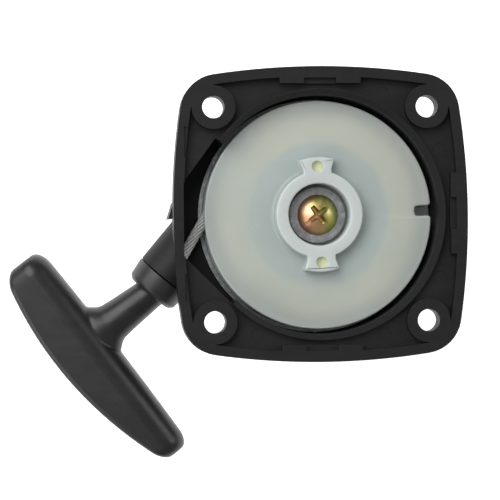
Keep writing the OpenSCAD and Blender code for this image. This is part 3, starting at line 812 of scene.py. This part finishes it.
class STARTER_OT_reel(Operator):
    """Nylon reel with its hub ring, drive ears, blind holes and rim notch"""

    bl_idname = "starter.reel"
    bl_label = "Reel"

    def execute(self, context):
        size = context.scene.starter_reel
        colours = context.scene.starter_colours
        hub_top = REEL_HIGH.z
        top = hub_top - size.hub_height
        low = top - 2 * size.flange - size.groove + 0.1 * MM
        reel = self.core(size, hub_top, top, low)
        flanges = join(
            "flanges",
            self.flange(size, top - size.flange, top),
            self.flange(size, low, low + size.flange),
        )
        combine(reel, flanges, "UNION")
        combine(reel, self.ears(size, hub_top, top), "UNION")
        combine(reel, self.bores(size, hub_top), "DIFFERENCE")
        self.mark_painted_hole_floors(reel, size, hub_top)
        finish = milky_nylon(
            tuple(colours.reel), tuple(colours.hub), tuple(colours.core), top + 0.4 * MM
        )
        wear_finish(reel, finish)
        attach(reel, "reel")
        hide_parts("rope_reel")
        return {"FINISHED"}

    def core(self, size, hub_top, top, low):
        """Arbor, hub tube, web, groove floor and hub ring, turned in one piece."""
        hub = size.hub / 2
        inner = SLEEVE_HIGH.x + 0.05 * MM
        arbor = inner + 1.45 * MM
        tube = arbor + 2 * MM
        rope = bpy.context.scene.starter_rope
        floor = -TURNS_LOW.x - rope.layers * rope.thick - 0.05 * MM
        wall = floor - 2.4 * MM
        web = top - size.flange - 0.2 * MM
        sunk = 0.3 * MM
        return lathe(
            "nylon_reel",
            rounded(
                [
                    (inner - sunk, REEL_LOW.z),
                    (arbor, REEL_LOW.z, 0.2 * MM),
                    (arbor, low - sunk, 0.2 * MM),
                    (tube, low - sunk, 0.2 * MM),
                    (tube, web, 0.6 * MM),
                    (wall, web, 0.6 * MM),
                    (wall, low + sunk),
                    (floor, low + sunk),
                    (floor, top - sunk),
                    (hub + 0.9 * MM, top - sunk),
                    (hub + 0.9 * MM, top + 0.02 * MM),
                    (hub + 0.35 * MM, top + 0.14 * MM, 0.5 * MM),
                    (hub + 0.06 * MM, top + 0.7 * MM, 0.6 * MM),
                    (hub, hub_top, 0.42 * MM),
                    (inner - sunk, hub_top),
                ],
                0.0,
            ),
            160,
        )

    def flange(self, size, low, high):
        """A flange with a round edge, a notch with round corners, and faint flash at the rim."""
        radius = REEL_RADIUS
        half = size.notch / 2
        lead = (half + 2.6 * MM) / radius
        steps = 150
        outline = []
        # A trace of moulding flash at one place on the rim
        flash_high, flash_turn, flash_spread = 0.14 * MM, 1.52, 0.09
        for i in range(steps + 1):
            turn = lead + (2 * math.pi - 2 * lead) * i / steps
            ripple = max(0.0, math.sin(9 * turn) - 0.55)
            flash = flash_high * ripple * math.exp(-((turn - flash_turn) / flash_spread) ** 2)
            reach = radius + flash
            outline.append((reach * math.cos(turn), reach * math.sin(turn), 0.0))
        edge = math.sqrt(radius**2 - half**2)
        foot = radius - size.notch_depth
        outline += [
            (edge, -half, 0.9 * MM),
            (foot, -half, 0.95 * MM),
            (foot, half, 0.95 * MM),
            (edge, half, 0.9 * MM),
        ]
        disc = stack("flange", rounded(outline, 0.0, 6), round_levels(low, high, 0.3 * MM, 0.42 * MM))
        return turned(disc, size.notch_turn)

    def ears(self, size, hub_top, top):
        """Two dovetailed ears that flare into the reel's face."""
        reach = size.ears / 2
        neck_at = size.hub / 2 + 0.4 * MM
        root = size.recess / 2 + 0.6 * MM
        half_end, half_neck = size.ear_end / 2, size.ear_neck / 2
        outline = [(half_neck, root, 0.0), (half_neck, neck_at, 0.7 * MM)]
        spread = math.asin(half_end / reach)
        for i in range(13):
            turn = math.pi / 2 - spread + 2 * spread * i / 12
            corner = 0.55 * MM if i in (0, 12) else 0.0
            outline.append((reach * math.cos(turn), reach * math.sin(turn), corner))
        outline += [(-half_neck, neck_at, 0.7 * MM), (-half_neck, root, 0.0)]
        outline = rounded(outline, 0.0, 5)
        levels = [(top - 0.3 * MM, 0.45 * MM)]
        for i in range(5):
            turn = math.pi / 2 * i / 4
            levels.append((top + 0.45 * MM * math.sin(turn), 0.45 * MM * (1 - math.sin(turn))))
        for i in range(5):
            turn = math.pi / 2 * i / 4
            fall = 0.38 * MM
            levels.append((hub_top - fall * (1 - math.sin(turn)), -fall * (1 - math.cos(turn))))
        pair = [stack("ear", outline, levels) for _ in range(2)]
        turned(pair[1], math.pi)
        return turned(join("ears", *pair), size.ears_turn)

    def hole_centres(self, size):
        reach = (size.ears - EAR_ROUND) / 2
        for side in (0, math.pi):
            turn = math.pi / 2 + size.ears_turn + side
            yield Vector((reach * math.cos(turn), reach * math.sin(turn), 0))

    def bores(self, size, hub_top):
        """The recess with its bore, and the blind holes, each with a round mouth."""
        bore = SLEEVE_HIGH.x + 0.06 * MM
        recess = size.recess / 2
        floor = SLEEVE_HIGH.z - 0.3 * MM
        above = 1 * MM
        lip = 0.4 * MM
        hole_lip = 0.16 * MM
        hole_floor = hub_top - size.ear_hole_depth
        cutters = [lathe("recess", mouth_profile(recess, floor, hub_top, lip, bore, REEL_LOW.z - above), 128)]
        for centre in self.hole_centres(size):
            hole = lathe("hole", mouth_profile(size.ear_hole / 2, hole_floor, hub_top, hole_lip), 40)
            place(hole, Matrix.Translation(centre))
            cutters.append(hole)
        return join("bores", *cutters)

    def mark_painted_hole_floors(self, reel, size, hub_top):
        """Marks the foot of each blind hole, where the same nylon looks darker and greener in the hole's
        shade, for the painted light and shade there.
        """
        mesh = reel.data
        layer = mesh.attributes.new("core", "FLOAT", "POINT")
        centres = list(self.hole_centres(size))
        reach = size.ear_hole / 2 + 0.05 * MM
        for point, value in zip(mesh.vertices, layer.data):
            deep = REEL_HIGH.z - size.hub_height - 1 * MM < point.co.z < hub_top - 0.5 * MM
            near = any((point.co.xy - centre.xy).length < reach for centre in centres)
            value.value = 1.0 if deep and near else 0.0


class STARTER_OT_rope(Operator):
    """Rope: the turns on the reel, and the run through the guide into the handle"""

    bl_idname = "starter.rope"
    bl_label = "Rope"

    def execute(self, context):
        size = context.scene.starter_rope
        finish = twisted_rope(tuple(context.scene.starter_colours.rope))
        run_radius = -TURNS_LOW.x - size.thick / 2
        level = (TURNS_LOW.z + TURNS_HIGH.z) / 2
        slope = size.slope
        touch = Vector((-run_radius * math.sin(slope), run_radius * math.cos(slope), level))
        run = direction(slope, 0.0)
        ring = strand_ring(size.thick, size.strands)
        self.turns(size, finish, ring, run_radius, level, touch, run)
        self.pull_rope(size, finish, ring, touch, run)
        return {"FINISHED"}

    def turns(self, size, finish, ring, run_radius, level, touch, run):
        """Turns laid side by side, layer on layer, that end in the straight tail."""
        per_turn = 64
        total = size.layers * size.columns
        step = size.thick + 0.1 * MM
        last_turn = math.atan2(touch.y, touch.x)
        path = []
        for i in range(total * per_turn + 1):
            done = i / per_turn
            layer = min(int(done / size.columns), size.layers - 1)
            column = done - layer * size.columns
            rise = smooth_step((column - size.columns + 0.2) / 0.2) if layer < size.layers - 1 else 0.0
            radius = run_radius - (size.layers - 1 - layer - rise) * size.thick
            along_groove = min(column, size.columns - 1) / max(1, size.columns - 1)
            if size.columns > 1:
                along_groove = smooth_step((column - 0.85) / 0.3)
            way = along_groove if layer % 2 == 0 else 1 - along_groove
            if layer == size.layers - 1:
                way = 0.5 + (way - 0.5) * (1 - smooth_step((column - size.columns + 0.6) / 0.6))
            turn = last_turn - 2 * math.pi * (total - done)
            height = level + (way - 0.5) * step
            path.append(Vector((radius * math.cos(turn), radius * math.sin(turn), height)))
        count = 18
        path += [touch + run * size.tail * (i + 1) / count for i in range(count)]
        reached = run_length(path)
        phase = [2 * math.pi * (at - reached[-1]) / size.lay for at in reached]
        rope = twisted_tube("rope_on_reel", path, ring, phase, Vector((0, 0, 1)))
        wear_finish(rope, finish)
        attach(rope, "reel")
        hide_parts("rope_turns")

    def pull_rope(self, size, finish, ring, touch, run):
        """The run to the guide, round its bend and up the stem. It draws out as the handle is pulled."""
        handle = bpy.context.scene.starter_handle
        bend = MOUTH - size.reach * PULL
        path, drawn = [], []
        corner = 8 * MM * math.tan(run.angle(PULL) / 2)
        start, end = bend - run * corner, bend + PULL * corner
        first = touch + run * size.tail
        spacing = 0.45 * MM
        count = int((start - first).length / spacing)
        path += [first.lerp(start, i / count) for i in range(count)]
        count = 8
        for i in range(count):
            t = i / count
            path.append(start.lerp(bend, t).lerp(bend.lerp(end, t), t))
        from_w, to_w = 1 * MM, 7 * MM
        reach_end = handle.stem_length + 5 * MM
        count = int((from_w + size.reach - corner) / spacing)
        path += [end.lerp(MOUTH + PULL * from_w, i / count) for i in range(count)]
        drawn = run_length(path + [MOUTH + PULL * from_w])[:-1]
        base = drawn[-1] + spacing
        drawn_length = to_w - from_w + PULL_TRAVEL
        rings = 640
        for i in range(rings + 1):
            wanted = drawn_length * i / rings
            t = self.share_at(wanted, to_w - from_w)
            path.append(MOUTH + PULL * (from_w + t * (to_w - from_w)))
            drawn.append(base + wanted)
        count = int((reach_end - to_w) / spacing)
        for i in range(1, count + 1):
            path.append(MOUTH + PULL * (to_w + (reach_end - to_w) * i / count))
            drawn.append(base + drawn_length + (reach_end - to_w) * i / count)
        phase = [2 * math.pi * at / size.lay for at in drawn]
        rope = twisted_tube("pull_rope", path, ring, phase, Vector((0, 0, 1)))
        wear_finish(rope, finish)
        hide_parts("rope_run", "rope_in_handle")
        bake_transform(rope)

    def share_at(self, wanted, rest_length):
        """The share of the zone whose drawn-out place is the wanted one: the pull moves it by 3t^2 - 2t^3."""
        low, high = 0.0, 1.0
        for _ in range(40):
            middle = (low + high) / 2
            if rest_length * middle + PULL_TRAVEL * smooth_step(middle) < wanted:
                low = middle
            else:
                high = middle
        return (low + high) / 2


class STARTER_OT_collar(Operator):
    """Guide collar on the outlet boss"""

    bl_idname = "starter.collar"
    bl_label = "Guide collar"

    def execute(self, context):
        size = context.scene.starter_sizes
        outer, length_out = size.collar / 2, size.collar_length
        mouth, hole = size.collar_mouth / 2, size.collar_hole / 2
        spigot = hole + 1.3 * MM
        spigot_low = -length_out - 5 * MM
        seat = 2.7 * MM
        tip = outer - 0.45 * MM
        seam = 0.25 * MM
        collar = lathe(
            "guide_collar",
            rounded(
                [
                    (hole, spigot_low, 0.5 * MM),
                    (spigot, spigot_low, 0.1 * MM),
                    (spigot, seam - length_out, 0.1 * MM),
                    (outer, seam - length_out, 0.35 * MM),
                    (tip, -0.9 * MM, 0.9 * MM),
                    (tip - 0.9 * MM, 0.0, 0.6 * MM),
                    (mouth, 0.0, 0.3 * MM),
                    (mouth, -seat, 0.1 * MM),
                    (hole, -seat, 0.5 * MM),
                ],
                0.0,
                8,
            ),
            128,
        )
        place(collar, along(MOUTH, direction(size.outlet_angle, PULL_LEAN)))
        black = tuple(context.scene.starter_colours.collar)
        finish = moulded_black("collar_black", black, 0.36, 0.000012, GLOSS_SHINE)
        wear_finish(collar, finish)
        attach(collar, "housing")
        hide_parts("rope_guide_collar")
        return {"FINISHED"}


class STARTER_OT_screw(Operator):
    """Domed centre screw with its cross and slot, and the washer under it"""

    bl_idname = "starter.screw"
    bl_label = "Screw and washer"

    def execute(self, context):
        colours = context.scene.starter_colours
        self.washer(colours)
        self.screw(context.scene.starter_sizes.screw_slot)
        return {"FINISHED"}

    def washer(self, colours):
        outer, inner = WASHER_HIGH.x, 2.7 * MM
        low, high = WASHER_LOW.z, WASHER_HIGH.z
        washer = lathe(
            "zinc_washer",
            rounded(
                [
                    (inner, low, 0.1 * MM),
                    (outer, low, 0.12 * MM),
                    (outer, high, 0.3 * MM),
                    (inner, high, 0.1 * MM),
                ],
                0.0,
            ),
            128,
        )
        wear_finish(washer, plated("washer_zinc", tuple(colours.washer), 0.46))
        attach(washer, "housing")
        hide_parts("centre_washer")

    def screw(self, slot_turn):
        low, seat, high = SCREW_LOW.z, WASHER_HIGH.z, SCREW_HIGH.z
        head = 4.8 * MM
        shank = 2.5 * MM
        edge = 0.7 * MM
        rise = high - seat - edge
        ball = (head**2 + rise**2) / (2 * rise)
        profile = [(0, low), (shank - 0.4 * MM, low), (shank, low + 0.5 * MM), (shank, seat)]
        profile += [(head - 0.12 * MM, seat), (head, seat + 0.12 * MM)]
        steps = 18
        for i in range(steps + 1):
            radius = head * (1 - i / steps)
            drop = ball - math.sqrt(ball**2 - radius**2)
            eased = 0.22 * MM * (radius / head) ** 12
            profile.append((radius - eased * 0.4, high - drop - eased))
        screw = lathe("centre_screw_head", profile, 128, 50.0)
        slot_long, slot_wide, slot_deep = 7.6 * MM, 0.8 * MM, 1.45 * MM
        arm_long, arm_wide, arm_deep = 5.0 * MM, 1.25 * MM, 2.1 * MM
        arm_draft = 0.35 * MM
        slot = stack("slot", bar(slot_long, slot_wide, 0.2 * MM), flared(high, slot_deep, 0.12 * MM))
        turned(slot, slot_turn)
        combine(screw, slot, "DIFFERENCE", 35.0)
        for quarter in (0, math.pi / 2):
            recess = flared(high, arm_deep, 0.14 * MM, arm_draft)
            arm = stack("arm", bar(arm_long, arm_wide, 0.22 * MM), recess)
            turned(arm, slot_turn + quarter)
            combine(screw, arm, "DIFFERENCE", 35.0)
        wear_finish(screw, iridescent_zinc())
        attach(screw, "housing")
        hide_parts("centre_screw")


class STARTER_OT_handle(Operator):
    """Pull handle: crowned grip with a crease, round finger side and a flared stem"""

    bl_idname = "starter.handle"
    bl_label = "Handle"

    def execute(self, context):
        size = context.scene.starter_handle
        grip = self.bar_of_grip(size)
        body = join("handle_grip_body", grip, self.stem(size))
        # One skin over grip and stem, smoothed only so far that the crease stays crisp
        modify(body, "REMESH", mode="VOXEL", voxel_size=0.3 * MM)
        modify(body, "SMOOTH", factor=0.5, iterations=3)
        crease = size.stem_length + size.crease
        pocket_low = crease - 0.6 * MM
        beyond = size.stem_length + size.thick + 3 * MM
        rope_hole, pocket = size.bore / 2, size.pocket / 2
        cutter = lathe(
            "pocket",
            [
                (0, -size.stem_in - 2 * MM),
                (rope_hole, -size.stem_in - 2 * MM),
                (rope_hole, pocket_low),
                (pocket, pocket_low),
                (pocket, beyond),
                (0, beyond),
            ],
            64,
        )
        combine(body, cutter, "DIFFERENCE", 42.0)
        place(body, along(MOUTH, PULL))
        colours = context.scene.starter_colours
        finish = moulded_black("handle_black", tuple(colours.grip), 0.34, 0.00001, GLOSS_SHINE)
        wear_finish(body, finish)
        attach(body, "handle")
        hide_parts("handle_grip")
        return {"FINISHED"}

    def stem(self, size):
        tip, root = size.stem / 2, size.stem_root / 2
        out = size.stem_length
        stem = lathe(
            "stem",
            rounded(
                [
                    (0, -size.stem_in, 0.0),
                    (tip, -size.stem_in, 0.5 * MM),
                    (tip, 0.5 * MM, 1 * MM),
                    (root, out - 5 * MM, 4 * MM),
                    (root + 0.35 * MM, out - 2.2 * MM, 3 * MM),
                    (root + 2.6 * MM, out + 0.6 * MM, 2 * MM),
                    (root + 2.6 * MM, out + size.crease, 0.0),
                    (0, out + size.crease, 0.0),
                ],
                0.0,
                6,
            ),
            96,
        )
        # The flare runs along the grip: across it, the stem hardly widens
        flare_share = 0.2
        for point in stem.data.vertices:
            wide = point.co.xy.length
            if wide > root:
                point.co.x *= (root + flare_share * (wide - root)) / wide
        return stem

    def section(self, size, u):
        """Half of the grip's outline at u along it, as (depth, distance along the pull)."""
        crease = size.stem_length + size.crease
        inner = size.stem_length + 0.6 * u * u
        outer = size.stem_length + size.thick - size.bow * u * u
        half = size.depth / 2 - 1.1 * u * u
        edge = min(1.3 * MM, (outer - crease) * 0.55)
        taper = 0.2
        low_half = half - taper * (outer - edge - crease)
        points = []
        for i in range(13):
            turn = math.pi / 2 * i / 12
            points.append((half * math.sin(turn) ** 0.92, crease - (crease - inner) * math.cos(turn)))
        for i in range(1, 5):
            t = i / 5
            points.append((half + (low_half - half) * t, crease + (outer - edge - crease) * t))
        for i in range(7):
            turn = math.pi / 2 * (1 - i / 6)
            points.append((low_half - edge + edge * math.sin(turn), outer - edge + edge * math.cos(turn)))
        for i in range(1, 5):
            t = i / 5
            points.append(((low_half - edge) * (1 - t), outer))
        return points, (inner + outer) / 2, outer

    def bar_of_grip(self, size):
        """The grip's ends are round: the sections shrink towards their middle."""
        stations = []
        near_round, far_round = 4.2 * MM, 3.4 * MM
        near_flat, far_flat = 0.5, 0.45
        for i in range(11):
            turn = math.pi / 2 * i / 10
            keep = near_flat + (1 - near_flat) * math.sin(turn)
            stations.append((-size.short + near_round * (1 - math.cos(turn)), keep))
        run = size.short + size.long - near_round - far_round
        for i in range(1, 40):
            stations.append((-size.short + near_round + run * i / 40, 1.0))
        for i in range(11):
            turn = math.pi / 2 * (1 - i / 10)
            keep = far_flat + (1 - far_flat) * math.sin(turn)
            stations.append((size.long - far_round * (1 - math.cos(turn)), keep))
        points, faces = [], []
        count = 0
        for u, keep in stations:
            half, middle, outer = self.section(size, u)
            loop = half + [(0.0, outer)] + [(-x, w) for x, w in reversed(half[1:])]
            count = len(loop)
            for x, w in loop:
                points.append((x * keep, u, middle + (w - middle) * keep))
        for i in range(len(stations) - 1):
            for j in range(count):
                k = (j + 1) % count
                faces.append((i * count + j, i * count + k, (i + 1) * count + k, (i + 1) * count + j))
        faces.append(tuple(range(count)))
        faces.append(tuple(range((len(stations) - 1) * count, len(stations) * count)))
        return mesh_from("grip_bar", points, faces)


class STARTER_OT_inner_pieces(Operator):
    """Finishes of the pieces that the reel and the handle hide"""

    bl_idname = "starter.inner_pieces"
    bl_label = "Inner pieces"

    def execute(self, context):
        colours = context.scene.starter_colours
        steel = plated("plain_steel", (0.5, 0.5, 0.51), 0.3)
        sheet = plated("zinc_sheet", (0.5, 0.51, 0.53), 0.38)
        blued = plated("blued_spring", (0.16, 0.18, 0.24), 0.3, 1.3)
        brass = plated("turned_brass", (0.6, 0.42, 0.16), 0.32)
        fibre = moulded_black("pressed_fibre", (0.2, 0.09, 0.035), 0.7)
        cap = moulded_black("cap_black", tuple(colours.grip), 0.45, 0.00002)
        rope = twisted_rope(tuple(colours.rope))
        for finish, nodes in (
            (steel, ("axle_sleeve", "cover_screws", "knot_washer")),
            (sheet, ("spring_case", "spring_cover")),
            (blued, ("recoil_spring",)),
            (brass, ("threaded_insert",)),
            (fibre, ("thrust_washer",)),
            (cap, ("handle_cap",)),
            (rope, ("reel_knot", "handle_knot")),
        ):
            for name in nodes:
                piece = frame["nodes"][name]
                piece.data.materials.clear()
                piece.data.materials.append(finish.material)
        return {"FINISHED"}


class STARTER_PT_sidebar(Panel):
    """Sizes, colours and pieces of the starter"""

    bl_idname = "STARTER_PT_sidebar"
    bl_label = "Recoil Starter"
    bl_space_type = "VIEW_3D"
    bl_region_type = "UI"
    bl_category = "Starter"

    def draw(self, context):
        scene = context.scene
        for title, group in (
            ("View", scene.starter_view),
            ("Housing and collar", scene.starter_sizes),
            ("Reel", scene.starter_reel),
            ("Rope", scene.starter_rope),
            ("Handle", scene.starter_handle),
            ("Colours", scene.starter_colours),
        ):
            box = self.layout.box()
            box.label(text=title)
            for name in group.bl_rna.properties.keys():
                if name not in ("rna_type", "name"):
                    box.prop(group, name)
        for operator in OPERATORS:
            self.layout.operator(operator.bl_idname)


GROUPS = (
    ("starter_view", StarterView),
    ("starter_sizes", StarterSizes),
    ("starter_reel", StarterReel),
    ("starter_rope", StarterRope),
    ("starter_handle", StarterHandle),
    ("starter_colours", StarterColours),
)
OPERATORS = (
    STARTER_OT_stage,
    STARTER_OT_housing,
    STARTER_OT_reel,
    STARTER_OT_rope,
    STARTER_OT_collar,
    STARTER_OT_screw,
    STARTER_OT_handle,
    STARTER_OT_inner_pieces,
)


def register():
    for name, group in GROUPS:
        bpy.utils.register_class(group)
        setattr(bpy.types.Scene, name, PointerProperty(type=group))
    for cls in OPERATORS:
        bpy.utils.register_class(cls)
    bpy.utils.register_class(STARTER_PT_sidebar)


def unregister():
    bpy.utils.unregister_class(STARTER_PT_sidebar)
    for cls in reversed(OPERATORS):
        bpy.utils.unregister_class(cls)
    for name, group in reversed(GROUPS):
        delattr(bpy.types.Scene, name)
        bpy.utils.unregister_class(group)


def main():
    register()
    bpy.ops.starter.stage()
    bpy.ops.starter.housing()
    bpy.ops.starter.reel()
    bpy.ops.starter.rope()
    bpy.ops.starter.collar()
    bpy.ops.starter.screw()
    bpy.ops.starter.handle()
    bpy.ops.starter.inner_pieces()


if __name__ == "__main__":
    main()
